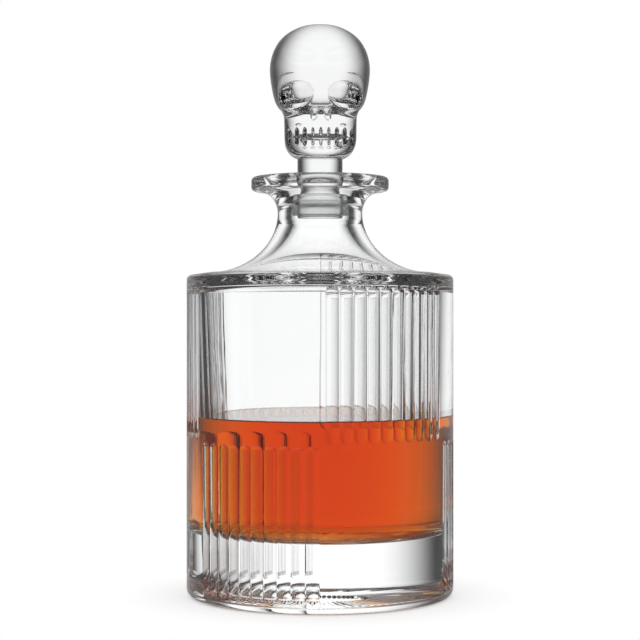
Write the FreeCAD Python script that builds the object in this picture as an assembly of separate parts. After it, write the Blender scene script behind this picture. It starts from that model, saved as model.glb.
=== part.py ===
import FreeCAD, Part
import math
import os

# A spirit decanter: a pressed-glass vessel with panels of flutes, its fill, and a skull stopper with a seal.
# Millimetres, +Z up, base at zero, the skull's face towards -Y.

Vector = FreeCAD.Vector
UP = Vector(0, 0, 1)
FRONT_ANGLE = -90.0

# Vessel, outside
body_radius = 56.0
foot_edge_radius = 3.6
base_ring_width = 14.4
base_recess_depth = 1.2
shoulder_height = 134.3
shoulder_edge_radius = 2.3
shoulder_ledge_width = 5.9
shoulder_ledge_rise = 0.9
neck_waist_rise = 26.1
neck_wall = 5.6
lip_radius = 28.9
lip_rise = 15.0
lip_thickness = 5.8
lip_edge_radius = 1.6
lip_underside_width = 1.0

# Vessel, inside
floor_thickness = 26.4
floor_corner_radius = 7.5
wall_at_floor = 12.0
wall_at_shoulder = 8.4
shoulder_thickness = 4.7
cavity_corner_radius = 3.4
bore_radius = 12.2
throat_step = 0.4
throat_length = 2.0
throat_flare = 9.0
mouth_ledge_depth = 7.0
mouth_ledge_width = 2.3
mouth_flare = 2.6

# Flutes on the vessel: two bands of panels, fluted and plain in turn
panels_round = 6
flutes_per_panel = 10
flute_field_share = 0.967
flute_depth = 1.0
flute_land = 0.3
band_height = 66.5
band_gap = 0.6
flute_foot_height = 4.4
flute_top_drop = 5.3

# Fill
fill_depth = 48.3
fill_clearance = 0.05

# Stopper: shank and peg
chin_clearance = 7.3
shank_radius = 9.5
shank_foot_flare = 1.4
shank_foot_height = 5.0
peg_bead_rise = 0.6
peg_bead_height = 1.4

# Seal on the peg
seal_wall = 3.05
seal_length = 10.0
seal_lip_height = 1.6
seal_lip_rounding = 0.5
seal_lead_in = 1.2
seal_lead_in_height = 2.0
seal_groove_depth = 0.6
seal_groove_height = 0.9
seal_bore_clearance = 0.1
seal_ledge_clearance = 0.1
peg_clearance = 0.05
seal_end_clearance = 0.1
peg_end_clearance = 0.5

# Skull: overall sizes, the reaches measured from the stopper's axis
head_height = 57.3
head_half_width = 21.3
face_reach = 23.0
occiput_reach = 27.0

# Skull outline from chin to crown: height, half width, face and back shares, and how square the outline is
head_shares = [
    (0.000, 0.430, 0.820, 0.100, 2.2),
    (0.016, 0.535, 0.870, 0.140, 2.2),
    (0.037, 0.613, 0.905, 0.180, 2.3),
    (0.075, 0.690, 0.925, 0.220, 2.4),
    (0.127, 0.714, 0.920, 0.250, 2.4),
    (0.229, 0.732, 0.945, 0.280, 2.4),
    (0.290, 0.730, 0.960, 0.320, 2.4),
    (0.332, 0.745, 0.950, 0.460, 2.3),
    (0.368, 0.812, 0.930, 0.640, 2.2),
    (0.405, 0.862, 0.930, 0.770, 2.2),
    (0.442, 0.908, 0.930, 0.860, 2.1),
    (0.515, 0.945, 0.940, 0.940, 2.1),
    (0.588, 0.977, 0.965, 0.985, 2.1),
    (0.668, 1.000, 0.940, 1.000, 2.0),
    (0.735, 0.977, 0.885, 0.990, 2.0),
    (0.808, 0.920, 0.795, 0.935, 2.0),
    (0.881, 0.800, 0.665, 0.805, 2.0),
    (0.932, 0.630, 0.510, 0.630, 2.0),
    (0.970, 0.430, 0.345, 0.430, 2.0),
    (0.992, 0.220, 0.175, 0.220, 2.0),
]
head_outline_points = 24

# Skull hollows: half sizes, and places as shares of the head's sizes
socket_half_width = 7.2
socket_half_height = 5.0
socket_depth = 6.5
socket_droop_angle = 12.0
socket_place_share = 0.46
socket_height_share = 0.490
nostril_half_width = 1.9
nostril_half_height = 3.1
nostril_depth = 3.2
nostril_lean_angle = 16.0
nostril_place_share = 0.115
nostril_height_share = 0.345
temple_half_length = 8.0
temple_half_height = 6.5
temple_depth = 1.0
temple_place_share = 0.20
temple_height_share = 0.540
cheek_half_length = 9.0
cheek_half_height = 2.6
cheek_depth = 1.6
cheek_place_share = 0.36
cheek_height_share = 0.300

# Skull teeth
mouth_height_share = 0.169
mouth_slit = 0.8
mouth_depth = 1.0
mouth_back_share = 0.25
tooth_width = 3.0
tooth_gap = 0.7
tooth_gaps = 9
upper_tooth_height = 4.0
lower_tooth_height = 3.6

# Shared by all cuts
overrun = 1.0


class Outline:
    """A half section in the XZ plane, drawn from point to point and turned about the Z axis."""

    def __init__(self, radius, height):
        self.first = Vector(radius, 0, height)
        self.last = self.first
        self.edges = []

    def line_to(self, radius, height):
        end = Vector(radius, 0, height)
        self.edges.append(Part.LineSegment(self.last, end).toShape())
        self.last = end

    def bend_to(self, corner_radius, corner_height, radius, height):
        """An arc of an ellipse, tangent to the two lines that meet in the given corner."""
        end = Vector(radius, 0, height)
        curve = Part.BezierCurve()
        curve.setPoles([self.last, Vector(corner_radius, 0, corner_height), end])
        curve.setWeight(2, math.sqrt(0.5))
        self.edges.append(curve.toShape())
        self.last = end

    def turned(self):
        self.line_to(self.first.x, self.first.z)
        return Part.Face(Part.Wire(self.edges)).revolve(Vector(0, 0, 0), UP, 360)


# Heights and radii that several pieces share
neck_radius = bore_radius + neck_wall
neck_waist_height = shoulder_height + neck_waist_rise
lip_height = neck_waist_height + lip_rise
cavity_foot_radius = body_radius - wall_at_floor
cavity_top_radius = body_radius - wall_at_shoulder
cavity_top_height = shoulder_height - shoulder_thickness
mouth_ledge_height = lip_height - mouth_ledge_depth
mouth_ledge_radius = bore_radius + mouth_ledge_width
fill_height = floor_thickness + fill_depth
floor_wall_height = floor_thickness + floor_corner_radius
cavity_wall_height = cavity_top_height - cavity_corner_radius - floor_wall_height
cavity_draft_share = (cavity_top_radius - cavity_foot_radius) / cavity_wall_height
seal_radius = bore_radius - seal_bore_clearance
peg_radius = seal_radius - seal_wall - peg_clearance
seal_foot_height = mouth_ledge_height - seal_length
seal_lip_foot_height = mouth_ledge_height + seal_ledge_clearance
seal_top_height = seal_lip_foot_height + seal_lip_height
bead_top_height = seal_foot_height - seal_end_clearance
bead_foot_height = bead_top_height - peg_bead_height
bore_foot_height = bead_foot_height - peg_end_clearance
chin_height = lip_height + chin_clearance


def cavity_radius(height):
    """The radius of the drafted inner wall at a height above its rounded corner."""
    return cavity_foot_radius + (height - floor_wall_height) * cavity_draft_share


def vessel_blank():
    """The vessel before fluting, from the middle of the base round to the middle of the cavity floor."""
    foot_radius = body_radius - foot_edge_radius
    recess_radius = foot_radius - base_ring_width
    shoulder_radius = body_radius - shoulder_edge_radius
    ledge_top = shoulder_height + shoulder_ledge_rise
    lip_foot = lip_height - lip_thickness
    lip_face_radius = lip_radius - lip_edge_radius
    throat_radius = bore_radius - throat_step
    throat_foot = bore_foot_height - throat_length
    cavity_shoulder_radius = cavity_top_radius - cavity_corner_radius
    outline = Outline(0, base_recess_depth)
    outline.line_to(recess_radius - base_recess_depth, base_recess_depth)
    outline.line_to(recess_radius, 0)
    outline.line_to(foot_radius, 0)
    outline.bend_to(body_radius, 0, body_radius, foot_edge_radius)
    outline.line_to(body_radius, shoulder_height - shoulder_edge_radius)
    outline.bend_to(body_radius, shoulder_height, shoulder_radius, shoulder_height)
    outline.line_to(shoulder_radius - shoulder_ledge_width, ledge_top)
    outline.bend_to(neck_radius, ledge_top, neck_radius, neck_waist_height)
    outline.bend_to(neck_radius, lip_foot, lip_face_radius - lip_underside_width, lip_foot)
    outline.line_to(lip_face_radius, lip_foot)
    outline.bend_to(lip_radius, lip_foot, lip_radius, lip_foot + lip_edge_radius)
    outline.line_to(lip_radius, lip_height - lip_edge_radius)
    outline.bend_to(lip_radius, lip_height, lip_face_radius, lip_height)
    outline.line_to(mouth_ledge_radius + mouth_flare, lip_height)
    outline.bend_to(mouth_ledge_radius, lip_height, mouth_ledge_radius, mouth_ledge_height)
    outline.line_to(bore_radius, mouth_ledge_height)
    outline.line_to(bore_radius, bore_foot_height)
    outline.line_to(throat_radius, bore_foot_height)
    outline.line_to(throat_radius, throat_foot)
    outline.bend_to(throat_radius + throat_flare, cavity_top_height, cavity_shoulder_radius, cavity_top_height)
    outline.bend_to(cavity_top_radius, cavity_top_height,
                    cavity_top_radius, cavity_top_height - cavity_corner_radius)
    outline.line_to(cavity_foot_radius, floor_wall_height)
    outline.bend_to(cavity_foot_radius, floor_thickness,
                    cavity_foot_radius - floor_corner_radius, floor_thickness)
    outline.line_to(0, floor_thickness)
    return outline.turned()


def flute_cutter(foot, top, angle, width):
    """A round-ended rod that leaves one flute of the given width, from foot to top, at an angle."""
    half_width = width / 2
    radius = (half_width ** 2 + flute_depth ** 2) / (2 * flute_depth)
    low_end = foot + half_width - radius
    high_end = top - half_width + radius
    outline = Outline(0, low_end)
    outline.bend_to(radius, low_end, radius, low_end + radius)
    outline.line_to(radius, high_end - radius)
    outline.bend_to(radius, high_end, 0, high_end)
    rod = outline.turned()
    rod.translate(Vector(body_radius + radius - flute_depth, 0, 0))
    rod.rotate(Vector(0, 0, 0), UP, angle)
    return rod


def flute_cutters():
    """Ten flutes to a panel; the lower band is fluted where the upper band is plain."""
    panel_angle = 360.0 / panels_round
    pitch_angle = panel_angle * flute_field_share / flutes_per_panel
    width = 2 * body_radius * math.sin(math.radians(pitch_angle / 2)) - flute_land
    lower = (flute_foot_height, band_height - band_gap / 2)
    upper = (band_height + band_gap / 2, shoulder_height - flute_top_drop)
    cutters = []
    for panel in range(panels_round):
        foot, top = upper if panel % 2 == 0 else lower
        middle = FRONT_ANGLE + panel_angle * (panel + 0.5)
        for flute in range(flutes_per_panel):
            turn = (flute - (flutes_per_panel - 1) / 2) * pitch_angle
            cutters.append(flute_cutter(foot, top, middle + turn, width))
    return cutters


def decanter_body():
    return vessel_blank().cut(flute_cutters())


def spirit_fill():
    """The spirit in the cavity, with a level top."""
    foot = floor_thickness + fill_clearance
    wall_foot_radius = cavity_foot_radius - fill_clearance
    outline = Outline(0, foot)
    outline.line_to(wall_foot_radius - floor_corner_radius, foot)
    outline.bend_to(wall_foot_radius, foot, wall_foot_radius, foot + floor_corner_radius)
    outline.line_to(cavity_radius(fill_height) - fill_clearance, fill_height)
    outline.line_to(0, fill_height)
    return outline.turned()


def stopper_seal():
    """The soft sleeve on the peg: a lip on the mouth's ledge, and two bands with a groove between them."""
    inner = seal_radius - seal_wall
    lip_rim = mouth_ledge_radius - seal_lip_rounding
    groove_height = (seal_foot_height + mouth_ledge_height - seal_groove_height) / 2
    outline = Outline(inner, seal_foot_height)
    outline.line_to(seal_radius - seal_lead_in, seal_foot_height)
    outline.bend_to(seal_radius, seal_foot_height, seal_radius, seal_foot_height + seal_lead_in_height)
    outline.line_to(seal_radius, groove_height)
    outline.line_to(seal_radius - seal_groove_depth, groove_height)
    outline.line_to(seal_radius - seal_groove_depth, groove_height + seal_groove_height)
    outline.line_to(seal_radius, groove_height + seal_groove_height)
    outline.line_to(seal_radius, seal_lip_foot_height)
    outline.line_to(lip_rim, seal_lip_foot_height)
    outline.line_to(lip_rim, seal_top_height - seal_lip_rounding)
    outline.bend_to(lip_rim, seal_top_height, lip_rim - seal_lip_rounding, seal_top_height)
    outline.line_to(inner, seal_top_height)
    return outline.turned()


def stopper_stem():
    """Shank and peg: the seal is held between the shank's foot and a bead at the peg's end."""
    bead_radius = peg_radius + peg_bead_rise
    shank_foot = seal_top_height + seal_end_clearance
    outline = Outline(0, bead_foot_height)
    outline.line_to(peg_radius, bead_foot_height)
    outline.bend_to(bead_radius, bead_foot_height, bead_radius, bead_top_height)
    outline.line_to(peg_radius, bead_top_height)
    outline.line_to(peg_radius, shank_foot)
    outline.line_to(shank_radius + shank_foot_flare, shank_foot)
    outline.bend_to(shank_radius, shank_foot, shank_radius, shank_foot + shank_foot_height)
    outline.line_to(shank_radius, chin_height + cheek_height_share * head_height)
    outline.line_to(0, chin_height + cheek_height_share * head_height)
    return outline.turned()


def head_sizes(height_share):
    """Half width, face reach, back reach and squareness of the skull at a share of its height."""
    for low, high in zip(head_shares, head_shares[1:]):
        if low[0] <= height_share <= high[0]:
            blend = (height_share - low[0]) / (high[0] - low[0])
            width, face, back, square = [a + (b - a) * blend for a, b in zip(low[1:], high[1:])]
            return width * head_half_width, face * face_reach, back * occiput_reach, square


def head_point(height_share, angle, inset=0):
    """A point on the skull's outline, at an angle from the right side by way of the back."""
    half_width, face, back, square = head_sizes(height_share)
    turn = math.radians(angle)
    across = math.copysign(abs(math.cos(turn)) ** (2 / square), math.cos(turn))
    along = math.copysign(abs(math.sin(turn)) ** (2 / square), math.sin(turn))
    half_depth = (face + back) / 2
    return Vector(
        across * (half_width - inset),
        (back - face) / 2 + along * (half_depth - inset),
        chin_height + height_share * head_height,
    )


def head_wire(height_share, inset=0):
    """A closed smooth outline of the skull at one height, which begins and ends at the back."""
    step = 360.0 / head_outline_points
    angles = [step * i - FRONT_ANGLE for i in range(head_outline_points)]
    curve = Part.BSplineCurve()
    curve.interpolate(Points=[head_point(height_share, angle, inset) for angle in angles], PeriodicFlag=True)
    return Part.Wire(curve.toShape())


def head_blank():
    """The smooth skull, lofted from the chin to a point at the crown."""
    wires = [head_wire(row[0]) for row in head_shares]
    crown = Part.Vertex(Vector(0, 0, chin_height + head_height))
    return Part.makeLoft(wires + [crown], True)


def hollow_cutter(half_sizes, place, inward, lean_angle=0):
    """A unit ball scaled to three half sizes, leaned about the way it goes in, and set in place."""
    scale = FreeCAD.Matrix()
    scale.scale(half_sizes[0], half_sizes[1], half_sizes[2])
    ball = Part.makeSphere(1, Vector(0, 0, 0), inward).transformGeometry(scale)
    ball.rotate(Vector(0, 0, 0), inward, lean_angle)
    ball.translate(place)
    return ball


def face_point(across, height_share):
    """The place on the front of the skull at a distance across from its middle plane."""
    half_width, face, back, square = head_sizes(height_share)
    reach = (1 - abs(across / half_width) ** square) ** (1 / square)
    depth = (back - face) / 2 - reach * (face + back) / 2
    return Vector(across, depth, chin_height + height_share * head_height)


def side_point(side, along_share, height_share):
    """The place on a cheek or temple, at a share of the way from the axis to the face."""
    half_width, face, back, square = head_sizes(height_share)
    along = -along_share * face
    middle = (back - face) / 2
    reach = (1 - abs((along - middle) / ((face + back) / 2)) ** square) ** (1 / square)
    return Vector(side * half_width * reach, along, chin_height + height_share * head_height)


def head_hollows():
    """Eye sockets, nostrils, temples and the hollows under the cheekbones, on both sides."""
    into_face = Vector(0, 1, 0)
    into_side = Vector(1, 0, 0)
    hollows = []
    for side in (-1, 1):
        place = face_point(side * socket_place_share * head_half_width, socket_height_share)
        socket = (socket_half_width, socket_depth, socket_half_height)
        hollows.append(hollow_cutter(socket, place, into_face, side * socket_droop_angle))
        place = face_point(side * nostril_place_share * head_half_width, nostril_height_share)
        nostril = (nostril_half_width, nostril_depth, nostril_half_height)
        hollows.append(hollow_cutter(nostril, place, into_face, -side * nostril_lean_angle))
        place = side_point(side, temple_place_share, temple_height_share)
        temple = (temple_depth, temple_half_length, temple_half_height)
        hollows.append(hollow_cutter(temple, place, into_side))
        place = side_point(side, cheek_place_share, cheek_height_share)
        cheek = (cheek_depth, cheek_half_length, cheek_half_height)
        hollows.append(hollow_cutter(cheek, place, into_side))
    return hollows


def mouth_line():
    """A shallow slit between the rows of teeth, round the front of the jaw."""
    slit = UP * mouth_slit
    half_slit_share = mouth_slit / head_height / 2
    rim = Part.Face(head_wire(mouth_height_share - half_slit_share, -overrun)).extrude(slit)
    core = Part.Face(head_wire(mouth_height_share - half_slit_share, mouth_depth)).extrude(slit)
    front = Part.makeBox(4 * head_half_width, 2 * face_reach, head_height)
    front.translate(Vector(-2 * head_half_width, -(2 + mouth_back_share) * face_reach, chin_height))
    return rim.cut(core).common(front)


def tooth_cutters():
    """Upright grooves between the teeth, through both rows."""
    middle = chin_height + mouth_height_share * head_height
    cutters = []
    for gap in range(tooth_gaps):
        half_width, face, back, square = head_sizes(mouth_height_share)
        turn = (gap - (tooth_gaps - 1) / 2) * tooth_width / half_width
        angle = FRONT_ANGLE + math.degrees(turn)
        place = head_point(mouth_height_share, angle)
        foot = Vector(place.x, place.y, middle - lower_tooth_height)
        cutters.append(Part.makeCylinder(tooth_gap, lower_tooth_height + upper_tooth_height, foot))
    return cutters


def skull_stopper():
    skull = head_blank().cut(head_hollows() + [mouth_line()] + tooth_cutters())
    return skull.fuse(stopper_stem()).removeSplitter()


os.makedirs("parts", exist_ok=True)
pieces = {
    "decanter_body": decanter_body(),
    "spirit_fill": spirit_fill(),
    "stopper_seal": stopper_seal(),
    "skull_stopper": skull_stopper(),
}
for node, shape in pieces.items():
    shape.exportStep("parts/" + node + ".step")
    print(node, "valid", shape.isValid(), "solids", len(shape.Solids), "ml", round(shape.Volume / 1000, 2))
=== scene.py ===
import math
from typing import NamedTuple

import bpy
from bpy.props import FloatProperty, FloatVectorProperty, IntProperty, PointerProperty
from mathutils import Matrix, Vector


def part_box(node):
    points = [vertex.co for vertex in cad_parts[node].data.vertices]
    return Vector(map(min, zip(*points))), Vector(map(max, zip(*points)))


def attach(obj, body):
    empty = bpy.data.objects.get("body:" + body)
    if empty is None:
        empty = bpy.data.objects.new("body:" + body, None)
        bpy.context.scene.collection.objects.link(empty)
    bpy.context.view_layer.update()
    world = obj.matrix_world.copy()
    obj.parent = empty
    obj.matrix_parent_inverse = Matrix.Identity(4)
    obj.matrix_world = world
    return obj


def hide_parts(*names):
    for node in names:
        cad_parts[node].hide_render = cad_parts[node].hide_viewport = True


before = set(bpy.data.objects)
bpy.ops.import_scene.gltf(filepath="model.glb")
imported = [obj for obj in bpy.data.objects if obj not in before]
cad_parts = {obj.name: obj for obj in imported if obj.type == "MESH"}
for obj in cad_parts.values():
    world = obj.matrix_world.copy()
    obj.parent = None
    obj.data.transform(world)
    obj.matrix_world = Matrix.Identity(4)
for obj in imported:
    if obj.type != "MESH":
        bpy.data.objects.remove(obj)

bl_info = {
    "name": "Skull Decanter",
    "version": (1, 0, 0),
    "blender": (4, 5, 0),
    "location": "View3D > Sidebar > Decanter",
    "description": "Models a fluted glass spirit decanter with a skull stopper, its fill and its stage",
    "category": "Add Mesh",
}

FULL_TURN = 2 * math.pi
HALF_TURN = math.pi
QUARTER_TURN = math.pi / 2
MERGE_DISTANCE = 0.000001
UP = Vector((0, 0, 1))
WHITE = (1, 1, 1, 1)
BLACK = (0, 0, 0, 1)

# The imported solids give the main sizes, so that the looks fit the construction
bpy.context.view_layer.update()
vessel_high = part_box("decanter_body")[1]
fill_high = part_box("spirit_fill")[1]
seal_low, seal_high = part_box("stopper_seal")
stopper_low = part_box("skull_stopper")[0]

# Faces that meet at less than these angles look like one round surface
VESSEL_SMOOTH = math.radians(18)
SPIRIT_SMOOTH = math.radians(30)
MOULDED_SMOOTH = math.radians(35)

# A notch between two teeth has a four-sided cutter
NOTCH_SIDES = 4


class Level(NamedTuple):
    """A level of the skull: its height, half width, reach to the face and reach to the back."""
    height: float
    half_width: float
    face: float
    back: float

    @property
    def half_depth(self):
        return (self.face + self.back) / 2

    @property
    def middle(self):
        return (self.back - self.face) / 2


# Cranium from its base to the crown
CRANIUM_LEVELS = (
    Level(0.2017, 0.0150, 0.0200, 0.0124),
    Level(0.2038, 0.0170, 0.0205, 0.0173),
    Level(0.2059, 0.0184, 0.0208, 0.0208),
    Level(0.2080, 0.0193, 0.0210, 0.0232),
    Level(0.2122, 0.0202, 0.0212, 0.0254),
    Level(0.2164, 0.0209, 0.0214, 0.0266),
    Level(0.2210, 0.0213, 0.0212, 0.0270),
    Level(0.2248, 0.0209, 0.0204, 0.0267),
    Level(0.2290, 0.0197, 0.0186, 0.0253),
    Level(0.2332, 0.0172, 0.0157, 0.0220),
    Level(0.2361, 0.0138, 0.0121, 0.0175),
    Level(0.2383, 0.0096, 0.0083, 0.0120),
    Level(0.2396, 0.0050, 0.0042, 0.0062),
)

# Jaw and upper jaw from the chin to the cheekbones; both rows of teeth follow the level between them
TOOTH_LEVEL = Level(0.1930, 0.0150, 0.0204, 0.0078)
JAW_LEVELS = (
    Level(0.1822, 0.0075, 0.0165, 0.0020),
    Level(0.1828, 0.0100, 0.0185, 0.0035),
    Level(0.1842, 0.0124, 0.0200, 0.0050),
    Level(0.1865, 0.0142, 0.0205, 0.0062),
    Level(0.1890, 0.0149, 0.0204, 0.0070),
    TOOTH_LEVEL,
    Level(0.1970, 0.0150, 0.0206, 0.0088),
    Level(0.2000, 0.0152, 0.0206, 0.0100),
    Level(0.2040, 0.0152, 0.0200, 0.0100),
)

# Face from the cheekbones to the brow, which stands a little in front of the cranium
FACE_BACK = 0.0010
FACE_LEVELS = (
    Level(0.1988, 0.0135, 0.0192, FACE_BACK),
    Level(0.1996, 0.0148, 0.0203, FACE_BACK),
    Level(0.2015, 0.0158, 0.0208, FACE_BACK),
    Level(0.2050, 0.0170, 0.0210, FACE_BACK),
    Level(0.2090, 0.0178, 0.0211, FACE_BACK),
    Level(0.2125, 0.0178, 0.0211, FACE_BACK),
    Level(0.2150, 0.0172, 0.0209, FACE_BACK),
    Level(0.2168, 0.0158, 0.0202, FACE_BACK),
    Level(0.2180, 0.0135, 0.0188, FACE_BACK),
)


class Waves(NamedTuple):
    """Faint waves in a surface: how fine, how drawn out along Z, how strong and how deep they are."""
    scale: float
    drawn_share: float
    strength_share: float
    depth: float


VESSEL_WAVES = Waves(scale=45.0, drawn_share=0.25, strength_share=0.35, depth=0.0003)
STOPPER_WAVES = Waves(scale=70.0, drawn_share=1.0, strength_share=0.35, depth=0.0001)
SPIRIT_WAVES = Waves(scale=60.0, drawn_share=1.0, strength_share=0.1, depth=0.0002)
SEAL_WAVES = Waves(scale=400.0, drawn_share=0.3, strength_share=0.2, depth=0.0001)
WAVE_DETAIL = 2.0


class Bloom(NamedTuple):
    """Roughness that follows the waves: where in them it starts and ends, its least and its most."""
    start: float
    end: float
    least: float
    most: float


GLASS_BLOOM = Bloom(start=0.35, end=0.75, least=0.0, most=0.02)
SEAL_BLOOM = Bloom(start=0.3, end=0.7, least=0.14, most=0.26)

# How strongly each stuff bends light
GLASS_IOR = 1.5
SPIRIT_IOR = 1.36
SEAL_IOR = 1.46


# Sizes and colours that a user can change

def number(name, description, default):
    return FloatProperty(name=name, description=description, default=default)


def length(name, description, default):
    return FloatProperty(name=name, description=description, default=default, unit="LENGTH", precision=5)


def share(name, description, default):
    return FloatProperty(name=name, description=description, default=default, subtype="FACTOR", max=1.0)


def angle(name, description, degrees):
    return FloatProperty(name=name, description=description, default=math.radians(degrees), unit="ROTATION")


def count(name, description, default):
    return IntProperty(name=name, description=description, default=default, min=1)


def place(name, description, default):
    return FloatVectorProperty(name=name, description=description, default=default, unit="LENGTH",
                               precision=5)


def colour(name, description, default):
    return FloatVectorProperty(name=name, description=description, default=default, subtype="COLOR",
                               min=0.0, max=1.0)


class VesselSizes(bpy.types.PropertyGroup):
    """Half section of the glass vessel."""
    body_radius: length("Body radius", "Outer radius of the wall", vessel_high.x)
    foot_edge: length("Foot edge", "Rounding of the foot's outer edge", 0.0036)
    base_ring: length("Base ring", "Width of the ring that the vessel stands on", 0.0144)
    base_recess: length("Base recess", "How far the middle of the base is set in", 0.0012)
    shoulder_height: length("Shoulder height", "Height of the flat shoulder's edge", 0.1343)
    shoulder_edge: length("Shoulder edge", "Rounding of the shoulder's outer edge", 0.0023)
    ledge_width: length("Ledge width", "Width of the shoulder's flat ledge", 0.0059)
    ledge_rise: length("Ledge rise", "Rise of the ledge towards the neck", 0.0009)
    neck_radius: length("Neck radius", "Outer radius of the neck at its waist", 0.0178)
    neck_waist: length("Neck waist", "Height of the neck's narrowest place", 0.1604)
    lip_radius: length("Lip radius", "Outer radius of the flanged lip", 0.0289)
    lip_height: length("Lip height", "Height of the top of the lip", vessel_high.z)
    lip_thickness: length("Lip thickness", "Thickness of the lip's flange", 0.0058)
    lip_edge: length("Lip edge", "Rounding of the lip's edges", 0.0016)
    lip_underside: length("Lip underside", "Flat width under the lip", 0.0010)
    floor_height: length("Floor height", "Height of the cavity's floor", 0.0264)
    floor_corner: length("Floor corner", "Rounding between floor and wall", 0.0075)
    wall_at_floor: length("Wall at floor", "Wall thickness near the floor", 0.0120)
    wall_at_shoulder: length("Wall at shoulder", "Wall thickness near the shoulder", 0.0084)
    shoulder_thickness: length("Shoulder thickness", "Glass above the cavity at its rim", 0.0047)
    cavity_corner: length("Cavity corner", "Rounding of the cavity's top edge", 0.0034)
    bore_radius: length("Bore radius", "Radius of the neck's bore", 0.0122)
    bore_spare: length("Bore spare", "How far the bore goes on below the stopper", 0.0005)
    throat_step: length("Throat step", "How much narrower the throat is than the bore", 0.0004)
    throat_length: length("Throat length", "Length of the narrow throat", 0.0020)
    throat_flare: length("Throat flare", "How far the throat's line leans out on its way down", 0.0090)
    mouth_depth: length("Mouth depth", "Depth of the mouth's ledge under the lip", 0.0070)
    mouth_ledge: length("Mouth ledge", "Width of the ledge in the mouth", 0.0023)
    mouth_flare: length("Mouth flare", "How far the mouth opens above its ledge", 0.0026)
    tint: colour("Tint", "Colour that the glass lets through", (0.995, 1.0, 1.0))
    edge_steps: count("Edge steps", "Faces along a rounded edge", 10)
    neck_steps: count("Neck steps", "Faces along the neck's curve", 28)
    steps_round: count("Steps round", "Faces round the vessel", 360)


class FluteSizes(bpy.types.PropertyGroup):
    """Flutes pressed into the wall, and grooves under the base."""
    panels: count("Panels", "Panels round the vessel, fluted and plain in turn", 6)
    flutes: count("Flutes", "Flutes in a panel", 10)
    field_share: share("Field share", "Share of a panel's width that is fluted", 0.967)
    depth: length("Depth", "Depth of a flute", 0.0010)
    land: length("Land", "Width left between two flutes", 0.0003)
    band_height: length("Band height", "Height at which the two bands meet", 0.0665)
    band_gap: length("Band gap", "Gap between the two bands", 0.0006)
    foot_height: length("Foot height", "Height of the lower ends", 0.0044)
    top_drop: length("Top drop", "How far the upper ends stay below the shoulder", 0.0053)
    trim: length("Trim", "How far a cutting rod stands out of the wall", 0.00008)
    grooves: count("Grooves", "Grooves between the ribs under the base", 68)
    groove_start: length("Groove start", "Where the grooves start, from the axis", 0.0140)
    inner_groove: length("Inner groove", "Radius of a groove at its inner end", 0.0006)
    outer_groove: length("Outer groove", "Radius of a groove at its outer end", 0.0022)
    inner_crest: length("Inner crest", "Height of a groove's crest at its inner end", 0.0019)
    outer_crest: length("Outer crest", "Height of a groove's crest at its outer end", 0.0007)
    groove_steps: count("Groove steps", "Faces round a groove's rod", 14)
    end_steps: count("End steps", "Faces along the round end of a flute", 12)
    steps_round: count("Steps round", "Faces round a cutting rod", 72)


class FillSizes(bpy.types.PropertyGroup):
    """The spirit in the cavity."""
    level: length("Level", "Height of the surface", fill_high.z)
    overlap: length("Overlap", "How far the spirit reaches into the wetted glass", 0.00015)
    meniscus_height: length("Meniscus height", "Rise of the surface at the wall", 0.0008)
    meniscus_width: length("Meniscus width", "Width of the raised edge", 0.0016)
    tint: colour("Tint", "Colour that the spirit lets through", (0.958, 0.708, 0.0))
    density: number("Density", "Absorption in a metre of spirit", 120.0)
    corner_steps: count("Corner steps", "Faces along the rounding at the floor", 14)
    meniscus_steps: count("Meniscus steps", "Faces along the raised edge", 10)
    steps_round: count("Steps round", "Faces round the spirit", 240)


class SealSizes(bpy.types.PropertyGroup):
    """The clear sleeve on the stopper's peg."""
    radius: length("Radius", "Outer radius in the bore", 0.0121)
    wall: length("Wall", "Thickness of the sleeve", 0.00305)
    lip_height: length("Lip height", "Height of the lip on the mouth's ledge", 0.0016)
    lip_rounding: length("Lip rounding", "Rounding of the lip", 0.0005)
    lead_in: length("Lead in", "How much narrower the lower end is", 0.0012)
    lead_in_height: length("Lead in height", "Height of the rounded lower end", 0.0020)
    groove_depth: length("Groove depth", "Depth of the groove between the bands", 0.0006)
    groove_height: length("Groove height", "Height of the groove", 0.0009)
    tint: colour("Tint", "Colour that the plastic lets through", (0.96, 0.97, 0.97))
    lead_in_steps: count("Lead in steps", "Faces along the rounded lower end", 8)
    lip_steps: count("Lip steps", "Faces along the lip's rounding", 6)
    steps_round: count("Steps round", "Faces round the sleeve", 160)


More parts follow.
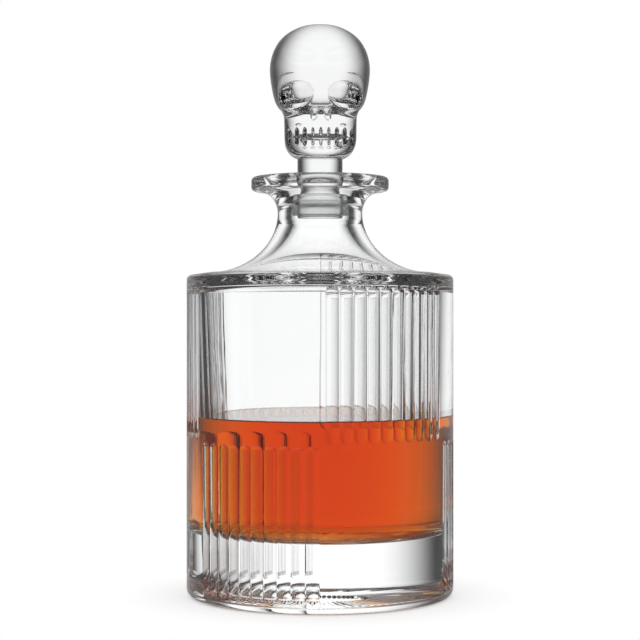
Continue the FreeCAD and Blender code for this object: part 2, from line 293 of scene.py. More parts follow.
class SkullSizes(bpy.types.PropertyGroup):
    """The skull, its shank and its peg."""
    peg_radius: length("Peg radius", "Radius of the peg in the seal", 0.0090)
    bead_rise: length("Bead rise", "How far the bead at the peg's end stands out", 0.0006)
    bead_steps: count("Bead steps", "Faces along the bead's rounding", 8)
    shank_radius: length("Shank radius", "Radius of the shank under the chin", 0.0095)
    shank_flare: length("Shank flare", "How far the shank's foot stands out", 0.0014)
    shank_foot: length("Shank foot", "Height of the shank's flared foot", 0.0050)
    shank_top: length("Shank top", "Height at which the shank ends in the skull", 0.2000)
    flare_steps: count("Flare steps", "Faces along the shank's flare", 12)
    end_gap: length("End gap", "Gap between the seal and the glass at its ends", 0.0001)
    cranium_round_share: share("Cranium roundness", "Share of the cranium's half width in its corners", 0.94)
    jaw_round_share: share("Jaw roundness", "Share of the jaw's half width in its corners", 0.62)
    face_round_share: share("Face roundness", "Share of the face's half width in its corners", 0.55)
    corner_steps: count("Corner steps", "Faces round a corner of the cranium, jaw or face", 10)
    subdivisions: count("Subdivisions", "How often these are divided and rounded", 2)
    socket_place: place("Socket place", "Middle of an eye socket", (0.0103, -0.0180, 0.2079))
    socket_size: place("Socket size", "Half sizes of an eye socket", (0.0080, 0.0066, 0.0056))
    socket_droop: angle("Socket droop", "How far the outer corner hangs", 15.0)
    socket_turn: angle("Socket turn", "How far a socket turns to the side", 22.0)
    nose_place: place("Nose place", "Middle of a nostril", (0.0027, -0.0210, 0.1994))
    nose_size: place("Nose size", "Half sizes of a nostril", (0.0015, 0.0034, 0.0024))
    nose_lean: angle("Nose lean", "Lean of a nostril", 14.0)
    hollow_steps: count("Hollow steps", "Faces round a socket or nostril", 64)
    mouth_place: place("Mouth place", "Middle of the mouth's slit", (0.0, -0.0198, 0.19045))
    mouth_size: place("Mouth size", "Half height, depth and half width of the slit", (0.0015, 0.0040, 0.0125))
    mouth_steps: count("Mouth steps", "Faces along the slit", 24)
    tooth_width: length("Tooth width", "Width of a tooth", 0.0033)
    gaps: count("Gaps", "Gaps between teeth on each side of the middle", 4)
    front_gaps: count("Front gaps", "How many of these are between front teeth", 1)
    front_gap: length("Front gap", "Half width of the gaps between the front teeth", 0.0008)
    side_gap: length("Side gap", "Half width of the gaps between the side teeth", 0.0010)
    gap_depth_share: number("Gap depth", "Depth of a gap for each half width", 4.0)
    upper_gap_height: length("Upper gap height", "Height of the middle of the upper gaps", 0.1922)
    upper_gap_half: length("Upper gap half", "Half height of the upper gaps", 0.0023)
    lower_gap_height: length("Lower gap height", "Height of the middle of the lower gaps", 0.1885)
    lower_gap_half: length("Lower gap half", "Half height of the lower gaps", 0.0019)
    gap_steps: count("Gap steps", "Faces along a gap", 12)
    root_height: length("Root height", "Height of the dents under the lower teeth", 0.1860)
    root_size: place("Root size", "Half sizes of such a dent", (0.0011, 0.0009, 0.0005))
    gum_across: length("Gum across", "Place across the jaw of a dent over the upper teeth", 0.0092)
    gum_height: length("Gum height", "Height of such a dent", 0.1955)
    gum_size: place("Gum size", "Half sizes of such a dent", (0.0015, 0.0010, 0.0006))
    dent_steps: count("Dent steps", "Faces round a dent", 24)
    voxel: length("Voxel", "Fineness of the moulded surface", 0.0004)
    softness: count("Softness", "Passes that soften the moulded edges", 10)
    softness_share: share("Softness share", "How much each pass softens", 0.5)
    # The stopper's tint is greyer than the vessel's. A little of it is the glass's own faint grey; the rest
    # is painted shade that makes the whole skull read darker.
    tint: colour("Tint", "Colour that the glass lets through", (0.89, 0.895, 0.895))
    steps_round: count("Steps round", "Faces round the shank", 160)


class StageSettings(bpy.types.PropertyGroup):
    """Floor, light and camera."""
    camera_distance: length("Camera distance", "From the decanter's axis to the camera", 0.747)
    camera_height: length("Camera height", "Height of the camera, which looks level", 0.1154)
    camera_turn: angle("Camera turn", "How far the camera stands round to the left", 1.0)
    lens: FloatProperty(name="Lens", description="Focal length", default=99.8, unit="CAMERA")
    floor_radius: length("Floor radius", "Radius of the pale floor", 0.10)
    floor_front: length("Floor front", "How far the floor reaches towards the camera", 0.12)
    floor_steps: count("Floor steps", "Edges round the floor", 96)
    floor_tint: colour("Floor tint", "Colour of the floor", (0.75, 0.75, 0.75))
    floor_lift: number("Floor lift", "How much brighter the floor looks to the camera", 0.40)
    height_share: share("Height share", "How much heights count in the angle from the field behind", 0.60)
    white_edge: angle("White edge", "Where the white field behind starts to fade", 13.0)
    dark_edge: angle("Dark edge", "Where it has faded away", 47.0)
    side_half: angle("Side half angle", "Half width of the white ring round the sides and overhead", 7.0)
    front_half: angle("Front half angle", "Half width of the pale floor's field in front", 52.0)
    front_top: angle("Front top", "Where that field ends below the horizon", -5.0)
    front_full: angle("Front full", "Where it has its full brightness", -15.0)
    front_share: share("Front share", "Brightness of that field, as a share of the white ones", 0.75)
    soft_edge: angle("Soft edge", "Softness of the edges of these two", 12.0)
    field_level: number("Field level", "Brightness of the white fields", 1.10)
    dark_level: number("Dark level", "Brightness between the white fields", 0.03)
    sheen_level: number("Sheen level", "Brightness of all that the outside of the glass mirrors", 0.40)
    glass_bounces: count("Glass bounces", "How many surfaces of glass light can pass", 24)
    sheen_bounces: count("Sheen bounces", "How often light can be mirrored", 8)


def settings(context):
    return context.scene.decanter


# Helpers for modelling

def clear_selection():
    """Leave edit mode and deselect everything, so that the next operators act on the new piece alone."""
    if bpy.context.mode != "OBJECT":
        bpy.ops.object.mode_set(mode="OBJECT")
    bpy.ops.object.select_all(action="DESELECT")


def active_piece():
    return bpy.context.view_layer.objects.active


def select_only(piece):
    clear_selection()
    piece.select_set(True)
    bpy.context.view_layer.objects.active = piece


def named(name):
    """Name the active piece and its mesh."""
    piece = active_piece()
    piece.name = name
    piece.data.name = name
    return piece


class Outline:
    """A half section as (radius, height) points, with round stretches as quarter ellipses."""

    def __init__(self, radius, height):
        self.points = [Vector((radius, 0, height))]

    def line_to(self, radius, height):
        self.points.append(Vector((radius, 0, height)))

    def bend_to(self, corner_radius, corner_height, radius, height, steps):
        """A quarter ellipse, tangent to the two lines that meet in the corner."""
        start = self.points[-1]
        corner = Vector((corner_radius, 0, corner_height))
        end = Vector((radius, 0, height))
        for step in range(1, steps + 1):
            turn = QUARTER_TURN * step / steps
            away = (start - corner) * (1 - math.sin(turn))
            along = (end - corner) * (1 - math.cos(turn))
            self.points.append(corner + away + along)


def turned(name, outline, steps, closed=False):
    """Draw the outline by extruding one vertex from point to point, then spin it about Z."""
    points = outline.points + outline.points[:1] if closed else outline.points
    clear_selection()
    bpy.ops.mesh.primitive_plane_add(size=2 * MERGE_DISTANCE, enter_editmode=True)
    bpy.ops.mesh.select_mode(type="VERT")
    bpy.ops.mesh.select_all(action="SELECT")
    bpy.ops.mesh.merge(type="CENTER")
    bpy.ops.transform.translate(value=points[0])
    for last, point in zip(points, points[1:]):
        bpy.ops.mesh.extrude_vertices_move(TRANSFORM_OT_translate={"value": point - last})
    bpy.ops.mesh.select_all(action="SELECT")
    bpy.ops.mesh.spin(steps=steps, angle=FULL_TURN, center=(0, 0, 0), axis=UP)
    tidy_mesh()
    return named(name)


def tidy_mesh():
    """Merge doubles, face everything outwards and leave edit mode."""
    bpy.ops.mesh.select_all(action="SELECT")
    bpy.ops.mesh.remove_doubles(threshold=MERGE_DISTANCE)
    bpy.ops.mesh.normals_make_consistent(inside=False)
    bpy.ops.object.mode_set(mode="OBJECT")


def rotate_all(turn, axis):
    """Turn all that is selected about an axis through the origin, anticlockwise seen from the axis's end."""
    bpy.ops.transform.rotate(value=-turn, orient_axis=axis, center_override=(0, 0, 0))


def ball(segments, rings, middle, half_sizes, lean, turn):
    """A ball drawn out to three half sizes, leaned about Y, turned about Z and set in place."""
    clear_selection()
    bpy.ops.mesh.primitive_uv_sphere_add(segments=segments, ring_count=rings, enter_editmode=True)
    bpy.ops.transform.resize(value=half_sizes)
    rotate_all(lean, "Y")
    rotate_all(turn, "Z")
    bpy.ops.transform.translate(value=middle)
    bpy.ops.object.mode_set(mode="OBJECT")
    return active_piece()


def egg(middle, half_sizes, steps, lean=0, turn=0):
    """A smooth egg, which cuts a round hollow."""
    return ball(steps, steps // 2, middle, half_sizes, lean, turn)


def spindle(middle, half_sizes, steps, lean=0, turn=0):
    """A spindle with sharp edges, which cuts a V-shaped notch."""
    return ball(NOTCH_SIDES, steps, middle, half_sizes, lean, turn)


def mirrored(middle, side):
    return (side * middle[0], middle[1], middle[2])


def lofted(levels, corner_share, corner_steps):
    """A round-cornered block drawn up from level to level by extruding and resizing its top face."""
    clear_selection()
    bpy.ops.mesh.primitive_plane_add(size=2, enter_editmode=True)
    bpy.ops.mesh.select_mode(type="VERT")
    bpy.ops.mesh.select_all(action="SELECT")
    bpy.ops.mesh.bevel(offset=corner_share, segments=corner_steps, affect="VERTICES")
    bpy.ops.mesh.select_all(action="SELECT")
    bpy.ops.mesh.remove_doubles(threshold=MERGE_DISTANCE)
    bpy.ops.mesh.select_mode(type="FACE")
    bpy.ops.mesh.select_all(action="SELECT")
    first = levels[0]
    bpy.ops.transform.resize(value=(first.half_width, first.half_depth, 1))
    bpy.ops.transform.translate(value=(0, first.middle, first.height))
    for last, level in zip(levels, levels[1:]):
        widen = (level.half_width / last.half_width, level.half_depth / last.half_depth, 1)
        rise = (0, 0, level.height - last.height)
        bpy.ops.mesh.extrude_region_move(TRANSFORM_OT_translate={"value": rise})
        bpy.ops.transform.resize(value=widen, center_override=(0, last.middle, level.height))
        bpy.ops.transform.translate(value=(0, level.middle - last.middle, 0))
    tidy_mesh()
    return active_piece()


def copied(piece, turn):
    """A copy with its own mesh, turned about Z."""
    select_only(piece)
    bpy.ops.object.duplicate(linked=False)
    bpy.ops.object.mode_set(mode="EDIT")
    bpy.ops.mesh.select_all(action="SELECT")
    rotate_all(turn, "Z")
    bpy.ops.object.mode_set(mode="OBJECT")
    return active_piece()


def apply_modifier(piece, kind, **values):
    """Add a modifier with these values and apply it."""
    modifier = piece.modifiers.new(kind.lower(), kind)
    for name, value in values.items():
        setattr(modifier, name, value)
    bpy.context.view_layer.objects.active = piece
    bpy.ops.object.modifier_apply(modifier=modifier.name)


def combine(piece, other, operation):
    """Cut the other piece out of this one, or melt it into it."""
    apply_modifier(piece, "BOOLEAN", operation=operation, solver="MANIFOLD", object=other)
    bpy.data.meshes.remove(other.data)


def joined(pieces):
    """Make one piece of several."""
    clear_selection()
    for piece in pieces:
        piece.select_set(True)
    bpy.context.view_layer.objects.active = pieces[0]
    bpy.ops.object.join()
    return active_piece()


def smooth(piece, turn):
    """Shade faces that meet at less than an angle as one surface."""
    select_only(piece)
    bpy.ops.object.shade_smooth_by_angle(angle=turn)


def finish_piece(piece, material, body, node):
    """Give a piece its material and its place in the frame."""
    piece.data.materials.clear()
    piece.data.materials.append(material)
    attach(piece, body)
    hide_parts(node)


# Materials

def node_material(name):
    """A new material, its nodes and links, with only the principled shader and the output."""
    material = bpy.data.materials.new(name)
    material.use_nodes = True
    nodes = material.node_tree.nodes
    return material, nodes, material.node_tree.links, nodes["Principled BSDF"]


def set_inputs(node, **values):
    for name, value in values.items():
        node.inputs[name.replace("_", " ")].default_value = value


def add_waves(nodes, links, shader, waves):
    """Bend the surface's light by noise on object coordinates, and give the noise back."""
    coordinates = nodes.new("ShaderNodeTexCoord")
    mapping = nodes.new("ShaderNodeMapping")
    set_inputs(mapping, Scale=(1, 1, waves.drawn_share))
    noise = nodes.new("ShaderNodeTexNoise")
    set_inputs(noise, Scale=waves.scale, Detail=WAVE_DETAIL)
    bump = nodes.new("ShaderNodeBump")
    set_inputs(bump, Strength=waves.strength_share, Distance=waves.depth)
    links.new(coordinates.outputs["Object"], mapping.inputs["Vector"])
    links.new(mapping.outputs["Vector"], noise.inputs["Vector"])
    links.new(noise.outputs["Fac"], bump.inputs["Height"])
    links.new(bump.outputs["Normal"], shader.inputs["Normal"])
    return noise


def clear_material(name, tint, ior, waves, bloom):
    """Clear pressed glass or soft plastic, with faint waves and a bloom that follows them."""
    material, nodes, links, shader = node_material(name)
    set_inputs(shader, Base_Color=(*tint, 1), IOR=ior, Transmission_Weight=1.0)
    noise = add_waves(nodes, links, shader, waves)
    cloud = nodes.new("ShaderNodeMapRange")
    set_inputs(cloud, From_Min=bloom.start, From_Max=bloom.end, To_Min=bloom.least, To_Max=bloom.most)
    links.new(noise.outputs["Fac"], cloud.inputs["Value"])
    links.new(cloud.outputs["Result"], shader.inputs["Roughness"])
    return material


def spirit_material(name, tint, density):
    """Red-brown spirit: its colour comes from absorption, so thin places are golden."""
    material, nodes, links, shader = node_material(name)
    set_inputs(shader, Base_Color=WHITE, IOR=SPIRIT_IOR, Transmission_Weight=1.0, Roughness=0.0)
    add_waves(nodes, links, shader, SPIRIT_WAVES)
    absorb = nodes.new("ShaderNodeVolumeAbsorption")
    set_inputs(absorb, Color=(*tint, 1), Density=density)
    links.new(absorb.outputs["Volume"], nodes["Material Output"].inputs["Volume"])
    return material


def unreflecting(material):
    """Spirit and wetted glass are close in density, so that hardly any light is reflected where they meet."""
    set_inputs(material.node_tree.nodes["Principled BSDF"], Specular_Tint=BLACK)


# Vessel

def cavity_radius(sizes, height):
    """Radius of the cavity at a height of its slightly leaning wall."""
    foot = sizes.floor_height + sizes.floor_corner
    top = sizes.shoulder_height - sizes.shoulder_thickness - sizes.cavity_corner
    foot_radius = sizes.body_radius - sizes.wall_at_floor
    top_radius = sizes.body_radius - sizes.wall_at_shoulder
    return foot_radius + (top_radius - foot_radius) * (height - foot) / (top - foot)


def spirit_rim(fill):
    """Height to which the spirit wets the wall."""
    return fill.level + fill.meniscus_height


def vessel_outline(sizes, rim):
    """From the middle of the base up the outside, then down the inside past the spirit's rim to the floor."""
    foot = sizes.body_radius - sizes.foot_edge
    recess = foot - sizes.base_ring
    shoulder = sizes.body_radius - sizes.shoulder_edge
    ledge_top = sizes.shoulder_height + sizes.ledge_rise
    lip_foot = sizes.lip_height - sizes.lip_thickness
    lip_face = sizes.lip_radius - sizes.lip_edge
    mouth_ledge_height = sizes.lip_height - sizes.mouth_depth
    mouth_radius = sizes.bore_radius + sizes.mouth_ledge
    cavity_top = sizes.shoulder_height - sizes.shoulder_thickness
    cavity_foot_radius = sizes.body_radius - sizes.wall_at_floor
    cavity_top_radius = sizes.body_radius - sizes.wall_at_shoulder
    bore_foot = stopper_low.z - sizes.bore_spare
    throat_radius = sizes.bore_radius - sizes.throat_step
    edge_steps = sizes.edge_steps
    outline = Outline(0, sizes.base_recess)
    outline.line_to(recess - sizes.base_recess, sizes.base_recess)
    outline.line_to(recess, 0)
    outline.line_to(foot, 0)
    outline.bend_to(sizes.body_radius, 0, sizes.body_radius, sizes.foot_edge, edge_steps)
    outline.line_to(sizes.body_radius, sizes.shoulder_height - sizes.shoulder_edge)
    outline.bend_to(sizes.body_radius, sizes.shoulder_height, shoulder, sizes.shoulder_height, edge_steps)
    outline.line_to(shoulder - sizes.ledge_width, ledge_top)
    outline.bend_to(sizes.neck_radius, ledge_top, sizes.neck_radius, sizes.neck_waist, sizes.neck_steps)
    outline.bend_to(sizes.neck_radius, lip_foot, lip_face - sizes.lip_underside, lip_foot, edge_steps)
    outline.line_to(lip_face, lip_foot)
    outline.bend_to(sizes.lip_radius, lip_foot, sizes.lip_radius, lip_foot + sizes.lip_edge, edge_steps)
    outline.line_to(sizes.lip_radius, sizes.lip_height - sizes.lip_edge)
    outline.bend_to(sizes.lip_radius, sizes.lip_height, lip_face, sizes.lip_height, edge_steps)
    outline.line_to(mouth_radius + sizes.mouth_flare, sizes.lip_height)
    outline.bend_to(mouth_radius, sizes.lip_height, mouth_radius, mouth_ledge_height, edge_steps)
    outline.line_to(sizes.bore_radius, mouth_ledge_height)
    outline.line_to(sizes.bore_radius, bore_foot)
    outline.line_to(throat_radius, bore_foot)
    outline.line_to(throat_radius, bore_foot - sizes.throat_length)
    outline.bend_to(throat_radius + sizes.throat_flare, cavity_top,
                    cavity_top_radius - sizes.cavity_corner, cavity_top, sizes.neck_steps)
    outline.bend_to(cavity_top_radius, cavity_top,
                    cavity_top_radius, cavity_top - sizes.cavity_corner, edge_steps)
    outline.line_to(cavity_radius(sizes, rim), rim)
    outline.line_to(cavity_foot_radius, sizes.floor_height + sizes.floor_corner)
    outline.bend_to(cavity_foot_radius, sizes.floor_height,
                    cavity_foot_radius - sizes.floor_corner, sizes.floor_height, edge_steps)
    outline.line_to(0, sizes.floor_height)
    return outline


def flute_rod(sizes, flutes, foot, top, width):
    """A round-ended rod in front of the wall at +X, trimmed just outside it so that rods don't touch."""
    half = width / 2
    radius = (half ** 2 + flutes.depth ** 2) / (2 * flutes.depth)
    low = foot + half - radius
    high = top - half + radius
    outline = Outline(0, low)
    outline.bend_to(radius, low, radius, low + radius, flutes.end_steps)
    outline.line_to(radius, high - radius)
    outline.bend_to(radius, high, 0, high, flutes.end_steps)
    rod = turned("flute", outline, flutes.steps_round)
    bpy.ops.object.mode_set(mode="EDIT")
    bpy.ops.mesh.select_all(action="SELECT")
    bpy.ops.transform.translate(value=(sizes.body_radius + radius - flutes.depth, 0, 0))
    bpy.ops.mesh.bisect(plane_co=(sizes.body_radius + flutes.trim, 0, 0), plane_no=(1, 0, 0),
                        use_fill=True, clear_outer=True, threshold=MERGE_DISTANCE)
    tidy_mesh()
    return rod


def flute_rods(sizes, flutes):
    """Fluted panels of the two bands: the lower band is fluted where the upper one is plain."""
    panel = FULL_TURN / flutes.panels
    pitch = panel * flutes.field_share / flutes.flutes
    width = 2 * sizes.body_radius * math.sin(pitch / 2) - flutes.land
    lower_top = flutes.band_height - flutes.band_gap / 2
    upper_foot = flutes.band_height + flutes.band_gap / 2
    upper_top = sizes.shoulder_height - flutes.top_drop
    lower = flute_rod(sizes, flutes, flutes.foot_height, lower_top, width)
    upper = flute_rod(sizes, flutes, upper_foot, upper_top, width)
    rods = []
    for panel_number in range(flutes.panels):
        rod = upper if panel_number % 2 == 0 else lower
        middle = -QUARTER_TURN + panel * (panel_number + 1 / 2)
        for flute in range(flutes.flutes):
            turn = (flute - (flutes.flutes - 1) / 2) * pitch
            rods.append(copied(rod, middle + turn))
    for rod in (lower, upper):
        bpy.data.meshes.remove(rod.data)
    return rods


def base_groove(sizes, flutes):
    """A tapered rod lying under the base along +X, for the groove between two ribs."""
    start = Vector((flutes.groove_start, 0, flutes.inner_crest - flutes.inner_groove))
    end = Vector((sizes.body_radius - sizes.foot_edge, 0, flutes.outer_crest - flutes.outer_groove))
    run = end - start
    clear_selection()
    bpy.ops.mesh.primitive_cone_add(vertices=flutes.groove_steps, radius1=flutes.inner_groove,
                                    radius2=flutes.outer_groove, depth=run.length, enter_editmode=True)
    rotate_all(math.atan2(run.x, run.z), "Y")
    bpy.ops.transform.translate(value=(start + end) / 2)
    tidy_mesh()
    return active_piece()


def base_grooves(sizes, flutes):
    """Rods for all the grooves round the base."""
    groove = base_groove(sizes, flutes)
    step = FULL_TURN / flutes.grooves
    return [groove] + [copied(groove, step * groove_number) for groove_number in range(1, flutes.grooves)]


def wet_faces(vessel, material, sizes, rim):
    """Give the faces of the cavity below the spirit's rim a material of their own."""
    vessel.data.materials.append(material)
    wet_index = len(vessel.data.materials) - 1
    wall_middle = sizes.body_radius - sizes.wall_at_shoulder / 2
    for face in vessel.data.polygons:
        inside = face.center.xy.length < wall_middle and face.center.z > sizes.floor_height / 2
        if inside and face.center.z < rim:
            face.material_index = wet_index


class DECANTER_OT_vessel(bpy.types.Operator):
    """Turn the glass vessel and press its flutes"""
    bl_idname = "decanter.vessel"
    bl_label = "Vessel"

    def execute(self, context):
        sizes = settings(context).vessel
        flutes = settings(context).flutes
        rim = spirit_rim(settings(context).fill)
        vessel = turned("vessel", vessel_outline(sizes, rim), sizes.steps_round)
        combine(vessel, joined(flute_rods(sizes, flutes) + base_grooves(sizes, flutes)), "DIFFERENCE")
        smooth(vessel, VESSEL_SMOOTH)
        dry, wet = (clear_material(name, sizes.tint, GLASS_IOR, VESSEL_WAVES, GLASS_BLOOM)
                    for name in ("pressed_vessel_glass", "wetted_vessel_glass"))
        unreflecting(wet)
        finish_piece(vessel, dry, "decanter", "decanter_body")
        wet_faces(vessel, wet, sizes, rim)
        return {"FINISHED"}


# Spirit

class DECANTER_OT_spirit(bpy.types.Operator):
    """Pour the spirit into the cavity"""
    bl_idname = "decanter.spirit"
    bl_label = "Spirit"

    def execute(self, context):
        sizes = settings(context).vessel
        fill = settings(context).fill
        rim = spirit_rim(fill)
        wall_radius = cavity_radius(sizes, rim)
        foot_radius = sizes.body_radius - sizes.wall_at_floor + fill.overlap
        foot = sizes.floor_height - fill.overlap
        outline = Outline(0, foot)
        outline.line_to(foot_radius - sizes.floor_corner, foot)
        outline.bend_to(foot_radius, foot, foot_radius, foot + sizes.floor_corner, fill.corner_steps)
        outline.line_to(wall_radius + fill.overlap, rim)
        outline.line_to(wall_radius, rim)
        outline.bend_to(wall_radius, fill.level,
                        wall_radius - fill.meniscus_width, fill.level, fill.meniscus_steps)
        outline.line_to(0, fill.level)
        spirit = turned("spirit", outline, fill.steps_round)
        smooth(spirit, SPIRIT_SMOOTH)
        liquid = spirit_material("brown_spirit", fill.tint, fill.density)
        unreflecting(liquid)
        finish_piece(spirit, liquid, "decanter", "spirit_fill")
        return {"FINISHED"}


# Seal

class DECANTER_OT_seal(bpy.types.Operator):
    """Turn the soft sleeve on the stopper's peg"""
    bl_idname = "decanter.seal"
    bl_label = "Seal"

    def execute(self, context):
        seal = settings(context).seal
        inner = seal.radius - seal.wall
        foot = seal_low.z
        top = seal_high.z
        rim = seal_high.x
        lip_foot = top - seal.lip_height
        groove = (foot + lip_foot - seal.groove_height) / 2
        outline = Outline(inner, foot)
        outline.line_to(seal.radius - seal.lead_in, foot)
        outline.bend_to(seal.radius, foot, seal.radius, foot + seal.lead_in_height, seal.lead_in_steps)
        outline.line_to(seal.radius, groove)
        outline.line_to(seal.radius - seal.groove_depth, groove)
        outline.line_to(seal.radius - seal.groove_depth, groove + seal.groove_height)
        outline.line_to(seal.radius, groove + seal.groove_height)
        outline.line_to(seal.radius, lip_foot)
        outline.line_to(rim, lip_foot)
        outline.line_to(rim, top - seal.lip_rounding)
        outline.bend_to(rim, top, rim - seal.lip_rounding, top, seal.lip_steps)
        outline.line_to(inner, top)
        sleeve = turned("seal", outline, seal.steps_round, closed=True)
        smooth(sleeve, MOULDED_SMOOTH)
        plastic = clear_material("soft_clear_plastic", seal.tint, SEAL_IOR, SEAL_WAVES, SEAL_BLOOM)
        finish_piece(sleeve, plastic, "seal", "stopper_seal")
        return {"FINISHED"}


# Stopper

def stopper_stem(skull):
    """Shank and peg, from the bead at the peg's end up into the skull."""
    bead = skull.peg_radius + skull.bead_rise
    bead_top = seal_low.z - skull.end_gap
    shank_low = seal_high.z + skull.end_gap
    flare_top = shank_low + skull.shank_foot
    outline = Outline(0, stopper_low.z)
    outline.line_to(skull.peg_radius, stopper_low.z)
    outline.bend_to(bead, stopper_low.z, bead, bead_top, skull.bead_steps)
    outline.line_to(skull.peg_radius, bead_top)
    outline.line_to(skull.peg_radius, shank_low)
    outline.line_to(skull.shank_radius + skull.shank_flare, shank_low)
    outline.bend_to(skull.shank_radius, shank_low, skull.shank_radius, flare_top, skull.flare_steps)
    outline.line_to(skull.shank_radius, skull.shank_top)
    outline.line_to(0, skull.shank_top)
    return turned("stem", outline, skull.steps_round)


def skull_mass(skull):
    """Cranium, jaw and face, melted into one surface."""
    blocks = []
    for levels, corner_share in ((CRANIUM_LEVELS, skull.cranium_round_share),
                                 (JAW_LEVELS, skull.jaw_round_share),
                                 (FACE_LEVELS, skull.face_round_share)):
        block = lofted(levels, corner_share, skull.corner_steps)
        apply_modifier(block, "SUBSURF", levels=skull.subdivisions, render_levels=skull.subdivisions)
        blocks.append(block)
    mass = joined(blocks)
    apply_modifier(mass, "REMESH", mode="VOXEL", voxel_size=skull.voxel)
    return mass


def hollow_face(mass, skull):
    """Eye sockets and nostrils on both sides."""
    hollows = []
    for side in (-1, 1):
        hollows.append(egg(mirrored(skull.socket_place, side), skull.socket_size, skull.hollow_steps,
                           lean=side * skull.socket_droop, turn=side * skull.socket_turn))
        hollows.append(egg(mirrored(skull.nose_place, side), skull.nose_size, skull.hollow_steps,
                           lean=-side * skull.nose_lean))
    combine(mass, joined(hollows), "DIFFERENCE")


def jaw_front(skull, across):
    """Reach of the jaw's front at a place across it, round its corners."""
    corner_width = skull.jaw_round_share * TOOTH_LEVEL.half_width
    corner_depth = skull.jaw_round_share * TOOTH_LEVEL.half_depth
    beyond = max(0, abs(across) - TOOTH_LEVEL.half_width + corner_width) / corner_width
    return TOOTH_LEVEL.face - corner_depth * (1 - math.sqrt(1 - beyond ** 2))


def cut_teeth(mass, skull):
    """Gaps of both rows of teeth, dents over and under them and the mouth's slit."""
    upper = []
    lower = []
    rows = ((upper, skull.upper_gap_height, skull.upper_gap_half),
            (lower, skull.lower_gap_height, skull.lower_gap_half))
    for gap in range(-skull.gaps, skull.gaps + 1):
        across = gap * skull.tooth_width
        reach = jaw_front(skull, across)
        turn = math.atan2(across, reach)
        width = skull.front_gap if abs(gap) <= skull.front_gaps else skull.side_gap
        depth = width * skull.gap_depth_share
        for row, height, half_height in rows:
            notch = spindle((across, -reach, height), (width, depth, half_height), skull.gap_steps, turn=turn)
            row.append(notch)
        upper.append(egg((across, -reach, skull.root_height), skull.root_size, skull.dent_steps))
    for side in (-1, 1):
        across = side * skull.gum_across
        gum_place = (across, -jaw_front(skull, across), skull.gum_height)
        lower.append(egg(gum_place, skull.gum_size, skull.dent_steps))
    slit = (skull.mouth_place, skull.mouth_size, skull.mouth_steps)
    combine(mass, joined(upper), "DIFFERENCE")
    combine(mass, joined(lower), "DIFFERENCE")
    combine(mass, spindle(*slit, lean=QUARTER_TURN), "DIFFERENCE")


class DECANTER_OT_stopper(bpy.types.Operator):
    """Model the skull stopper with its shank and peg"""
    bl_idname = "decanter.stopper"
    bl_label = "Skull stopper"

    def execute(self, context):
        skull = settings(context).skull
        mass = skull_mass(skull)
        hollow_face(mass, skull)
        apply_modifier(mass, "REMESH", mode="VOXEL", voxel_size=skull.voxel)
        apply_modifier(mass, "SMOOTH", factor=skull.softness_share, iterations=skull.softness)
        cut_teeth(mass, skull)
        combine(mass, stopper_stem(skull), "UNION")
        stopper = named("skull")
        smooth(stopper, MOULDED_SMOOTH)
        # The stopper glass's greyer tint is partly painted shade, darkening the whole skull beyond what its
        # light gives.
        glass = clear_material("stopper_glass_with_painted_shade", skull.tint, GLASS_IOR, STOPPER_WAVES, GLASS_BLOOM)
        finish_piece(stopper, glass, "stopper", "skull_stopper")
        return {"FINISHED"}


# Stage

def studio_world(stage):
    """Plain white, but glass sees a soft white field behind, narrower ones elsewhere and dark between."""
    world = bpy.data.worlds.new("studio")
    bpy.context.scene.world = world
    world.use_nodes = True
    nodes = world.node_tree.nodes
    links = world.node_tree.links

    def math_node(operation, first, second=0.0):
        node = nodes.new("ShaderNodeMath")
        node.operation = operation
        for socket, value in zip(node.inputs, (first, second)):
            if isinstance(value, (int, float)):
                socket.default_value = value
            else:
                links.new(value, socket)
        return node.outputs["Value"]

    def step_node(value, low, high):
        node = nodes.new("ShaderNodeMapRange")
        node.interpolation_type = "SMOOTHSTEP"
        set_inputs(node, From_Min=low, From_Max=high)
        links.new(value, node.inputs["Value"])
        return node.outputs["Result"]

    def rise_at(turn):
        return step_node(off_axis, turn - stage.soft_edge / 2, turn + stage.soft_edge / 2)

    # The angle from straight behind, in which heights count less than widths
    split = nodes.new("ShaderNodeSeparateXYZ")
    links.new(nodes.new("ShaderNodeTexCoord").outputs["Generated"], split.inputs["Vector"])
    lowered = math_node("MULTIPLY", split.outputs["Z"], stage.height_share)
    wide_square = math_node("POWER", split.outputs["X"], 2.0)
    high_square = math_node("POWER", lowered, 2.0)
    aside = math_node("SQRT", math_node("ADD", wide_square, high_square))
    off_axis = math_node("ARCTAN2", aside, split.outputs["Y"])

    # The three fields: behind, round the sides, and in front below the horizon
    behind = math_node("SUBTRACT", 1.0, step_node(off_axis, stage.white_edge, stage.dark_edge))
    side_start = rise_at(QUARTER_TURN - stage.side_half)
    side_end = rise_at(QUARTER_TURN + stage.side_half)
    sides = math_node("SUBTRACT", side_start, side_end)
    above = step_node(split.outputs["Z"], math.sin(stage.front_full), math.sin(stage.front_top))
    below = math_node("MULTIPLY", math_node("SUBTRACT", 1.0, above), stage.front_share)
    front = math_node("MULTIPLY", rise_at(HALF_TURN - stage.front_half), below)
    fields = math_node("ADD", behind, math_node("ADD", sides, front))
    contrast = stage.field_level - stage.dark_level
    level = math_node("ADD", math_node("MULTIPLY", fields, contrast), stage.dark_level)

    # Light through glass shows the fields, light mirrored outside shows the sheen, and all else is white
    path = nodes.new("ShaderNodeLightPath").outputs
    over_sheen = math_node("SUBTRACT", level, stage.sheen_level)
    through_change = math_node("MULTIPLY", path["Is Transmission Ray"], over_sheen)
    by_glass = math_node("MAXIMUM", path["Is Glossy Ray"], path["Is Transmission Ray"])
    sheen_change = math_node("MULTIPLY", by_glass, stage.sheen_level - 1.0)
    change = math_node("ADD", sheen_change, through_change)
    background = nodes["Background"]
    set_inputs(background, Color=WHITE)
    links.new(math_node("ADD", 1.0, change), background.inputs["Strength"])


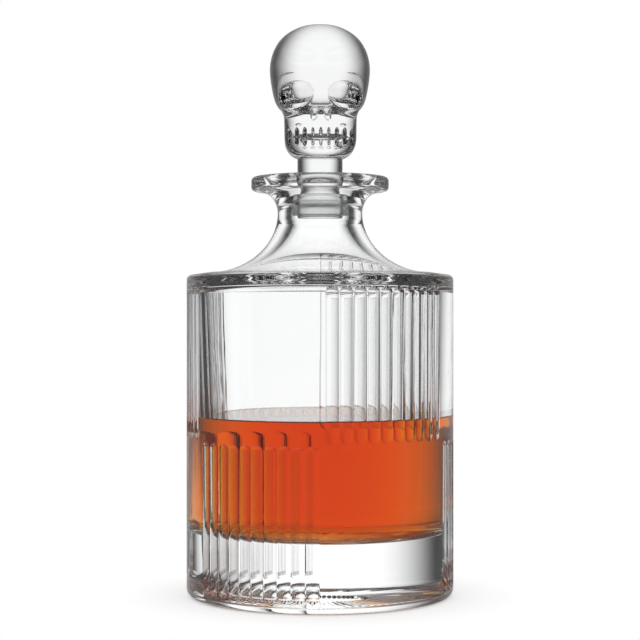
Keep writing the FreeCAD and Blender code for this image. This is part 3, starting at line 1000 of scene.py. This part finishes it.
def floor_material(stage):
    """Pale floor that reads as white to the camera and keeps a faint shadow."""
    material, nodes, links, shader = node_material("pale_floor")
    set_inputs(shader, Base_Color=(*stage.floor_tint, 1), Roughness=0.9, Specular_IOR_Level=0.0,
               Emission_Color=WHITE)
    glow = nodes.new("ShaderNodeMath")
    glow.operation = "MULTIPLY"
    seen, lift = glow.inputs[:2]
    lift.default_value = stage.floor_lift
    links.new(nodes.new("ShaderNodeLightPath").outputs["Is Camera Ray"], seen)
    links.new(glow.outputs["Value"], shader.inputs["Emission Strength"])
    return material


def lay_floor(stage):
    """A round floor that reaches further to the camera than to the back."""
    clear_selection()
    middle = (0, stage.floor_radius - stage.floor_front, 0)
    bpy.ops.mesh.primitive_circle_add(vertices=stage.floor_steps, radius=stage.floor_radius,
                                      fill_type="NGON", location=middle)
    bpy.ops.object.transform_apply(location=True)
    floor = named("floor")
    floor.data.materials.append(floor_material(stage))


def aim_camera(stage, scene):
    """A level camera in front, a little to the left."""
    turn = stage.camera_turn
    aside = -stage.camera_distance * math.sin(turn)
    forward = -stage.camera_distance * math.cos(turn)
    bpy.ops.object.camera_add(location=(aside, forward, stage.camera_height),
                              rotation=(QUARTER_TURN, 0, -turn))
    camera = active_piece()
    camera.data.lens = stage.lens
    scene.camera = camera


class DECANTER_OT_stage(bpy.types.Operator):
    """Lay the floor, set the light and aim the camera"""
    bl_idname = "decanter.stage"
    bl_label = "Stage"

    def execute(self, context):
        stage = settings(context).stage
        studio_world(stage)
        lay_floor(stage)
        aim_camera(stage, context.scene)
        context.scene.view_settings.view_transform = "Standard"
        cycles = context.scene.cycles
        cycles.max_bounces = stage.glass_bounces
        cycles.transmission_bounces = stage.glass_bounces
        cycles.glossy_bounces = stage.sheen_bounces
        return {"FINISHED"}


# Sidebar and registration

class DecanterSettings(bpy.types.PropertyGroup):
    """All that a user can change."""
    vessel: PointerProperty(type=VesselSizes)
    flutes: PointerProperty(type=FluteSizes)
    fill: PointerProperty(type=FillSizes)
    seal: PointerProperty(type=SealSizes)
    skull: PointerProperty(type=SkullSizes)
    stage: PointerProperty(type=StageSettings)


class DECANTER_PT_sidebar(bpy.types.Panel):
    """Lists the steps of the model and the sizes that they use"""
    bl_label = "Decanter"
    bl_space_type = "VIEW_3D"
    bl_region_type = "UI"
    bl_category = "Decanter"

    def draw(self, context):
        for operator in OPERATORS:
            self.layout.operator(operator.bl_idname)
        for group_name in DecanterSettings.__annotations__:
            group = getattr(settings(context), group_name)
            box = self.layout.box()
            for size_name in group.__annotations__:
                box.prop(group, size_name)


GROUPS = (VesselSizes, FluteSizes, FillSizes, SealSizes, SkullSizes, StageSettings, DecanterSettings)
OPERATORS = (DECANTER_OT_vessel, DECANTER_OT_spirit, DECANTER_OT_seal, DECANTER_OT_stopper, DECANTER_OT_stage)
CLASSES = (*GROUPS, *OPERATORS, DECANTER_PT_sidebar)


def register():
    for item in CLASSES:
        bpy.utils.register_class(item)
    bpy.types.Scene.decanter = PointerProperty(type=DecanterSettings)


def unregister():
    del bpy.types.Scene.decanter
    for item in reversed(CLASSES):
        bpy.utils.unregister_class(item)


def main():
    register()
    bpy.ops.decanter.vessel()
    bpy.ops.decanter.spirit()
    bpy.ops.decanter.seal()
    bpy.ops.decanter.stopper()
    bpy.ops.decanter.stage()


if __name__ == "__main__":
    main()
